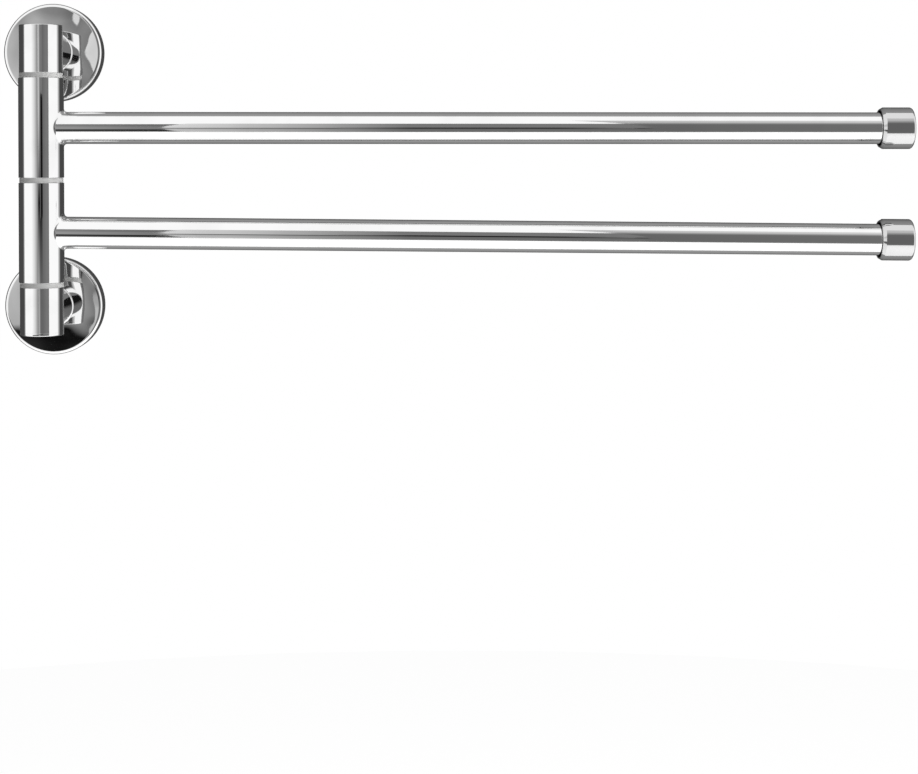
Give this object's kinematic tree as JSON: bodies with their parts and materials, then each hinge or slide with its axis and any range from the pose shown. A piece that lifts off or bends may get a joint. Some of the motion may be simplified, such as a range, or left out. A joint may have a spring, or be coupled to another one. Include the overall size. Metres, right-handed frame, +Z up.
{
  "type": "swing arm towel bar",
  "caption": "Wall-mounted towel bar: a vertical post on round wall flanges carries polished bars that swing separately from side to side.",
  "frame": {"origin": "on the wall, straight behind the middle of the post; the centre of the pattern of wall screw holes", "axes": "+Z up along the post, +X along the bars at rest, -Y out of the wall towards the room"},
  "size_m": [0.461, 0.0511, 0.1803],
  "materials": {
    "polished_steel": "mirror-polished stainless steel",
    "zinc_steel": "zinc-plated",
    "plate_steel": "galvanised sheet",
    "white_nylon": "moulded, satin",
    "grey_plastic": "moulded"
  },
  "bodies": {
    "wall_bracket": {"upper_wall_plate": "plate_steel", "upper_flange_cover": "polished_steel", "upper_set_screw": "zinc_steel", "upper_standoff_leg": "polished_steel", "upper_knuckle": "polished_steel", "upper_knuckle_cap": "polished_steel", "upper_knuckle_boss": "zinc_steel", "upper_spacer_bush": "white_nylon", "lower_wall_plate": "plate_steel", "lower_flange_cover": "polished_steel", "lower_set_screw": "zinc_steel", "lower_standoff_leg": "polished_steel", "lower_knuckle": "polished_steel", "lower_knuckle_plug": "polished_steel", "lower_knuckle_boss": "zinc_steel", "lower_spacer_bush": "white_nylon", "middle_spacer_bush": "white_nylon", "spindle": "zinc_steel", "spindle_flat_washer": "zinc_steel", "spindle_spring_washer": "zinc_steel", "spindle_nut": "zinc_steel"},
    "upper_arm": {"upper_arm_sleeve": "polished_steel", "upper_arm_bar": "polished_steel", "upper_arm_end_plug": "grey_plastic", "upper_arm_end_cap": "polished_steel"},
    "lower_arm": {"lower_arm_sleeve": "polished_steel", "lower_arm_bar": "polished_steel", "lower_arm_end_plug": "grey_plastic", "lower_arm_end_cap": "polished_steel"}
  },
  "joints": [
    {"name": "upper_arm_swing", "type": "hinge", "parent": "wall_bracket", "child": "upper_arm", "pos_m": [0, -0.04, 0.026], "axis": [0, 0, 1], "range_deg": [-180, 0]},
    {"name": "lower_arm_swing", "type": "hinge", "parent": "wall_bracket", "child": "lower_arm", "pos_m": [0, -0.04, -0.026], "axis": [0, 0, 1], "range_deg": [-180, 0]}
  ]
}
